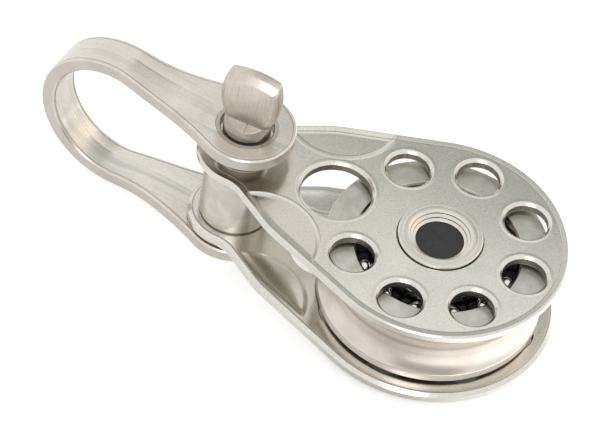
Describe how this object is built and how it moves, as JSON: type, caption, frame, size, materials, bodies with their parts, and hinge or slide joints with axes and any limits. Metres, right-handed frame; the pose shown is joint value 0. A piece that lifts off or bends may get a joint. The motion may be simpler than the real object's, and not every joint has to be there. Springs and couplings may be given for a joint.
{
  "type": "sailing block",
  "caption": "Ball bearing sheave ring between two pressed steel cheeks pierced with round holes, with a strap shackle on a thumb pin through the narrow head.",
  "frame": {"origin": "on the axis of the sheave axle, half way between the two cheeks", "axes": "+X from the shackle end to the round sheave end, +Z out of the upper cheek along the axle and the pin towards the thumb tab, +Y completes the right-handed set"},
  "size_m": [0.0948, 0.0428, 0.0382],
  "materials": {
    "pressed_steel": "polished pressed stainless steel with fine wear",
    "turned_steel": "turned stainless steel, satin",
    "ground_steel": "ground stainless steel",
    "black_plastic": "matte black plastic",
    "polished_balls": "polished steel balls",
    "polished_strap": "polished stainless strap",
    "satin_pin": "satin forged and turned stainless pin"
  },
  "bodies": {
    "block": {"cheek_upper": "pressed_steel", "cheek_lower": "pressed_steel", "inner_race_upper": "ground_steel", "inner_race_lower": "ground_steel", "thrust_washer_upper": "black_plastic", "thrust_washer_lower": "black_plastic", "hollow_axle": "ground_steel", "flange_ring_upper": "turned_steel", "flange_ring_lower": "turned_steel", "axle_plug_upper": "black_plastic", "axle_plug_lower": "black_plastic", "head_post": "turned_steel"},
    "sheave": {"sheave_ring": "turned_steel"},
    "upper_ball_row": {"ball_cage_upper": "black_plastic", "bearing_balls_upper": "polished_balls"},
    "lower_ball_row": {"ball_cage_lower": "black_plastic", "bearing_balls_lower": "polished_balls"},
    "shackle": {"shackle_bow": "polished_strap"},
    "pin": {"thumb_pin": "satin_pin"}
  },
  "joints": [
    {"name": "sheave_spin", "type": "hinge", "parent": "block", "child": "sheave", "pos_m": [0, 0, 0], "axis": [0, 0, 1], "continuous": true},
    {"name": "upper_balls_roll", "type": "hinge", "parent": "block", "child": "upper_ball_row", "pos_m": [0, 0, 0], "axis": [0, 0, 1], "continuous": true},
    {"name": "lower_balls_roll", "type": "hinge", "parent": "block", "child": "lower_ball_row", "pos_m": [0, 0, 0], "axis": [0, 0, 1], "continuous": true},
    {"name": "shackle_swing", "type": "hinge", "parent": "block", "child": "shackle", "pos_m": [-0.0362, 0, 0], "axis": [0, 0, 1], "range_deg": [-128, 137]},
    {"name": "pin_draw", "type": "slide", "parent": "shackle", "child": "pin", "axis": [0, 0, 1], "range_m": [0, 0.026]}
  ],
  "couplings": [
    {"joint": "upper_balls_roll", "follows": "sheave_spin", "ratio": 0.564},
    {"joint": "lower_balls_roll", "follows": "sheave_spin", "ratio": 0.564}
  ]
}
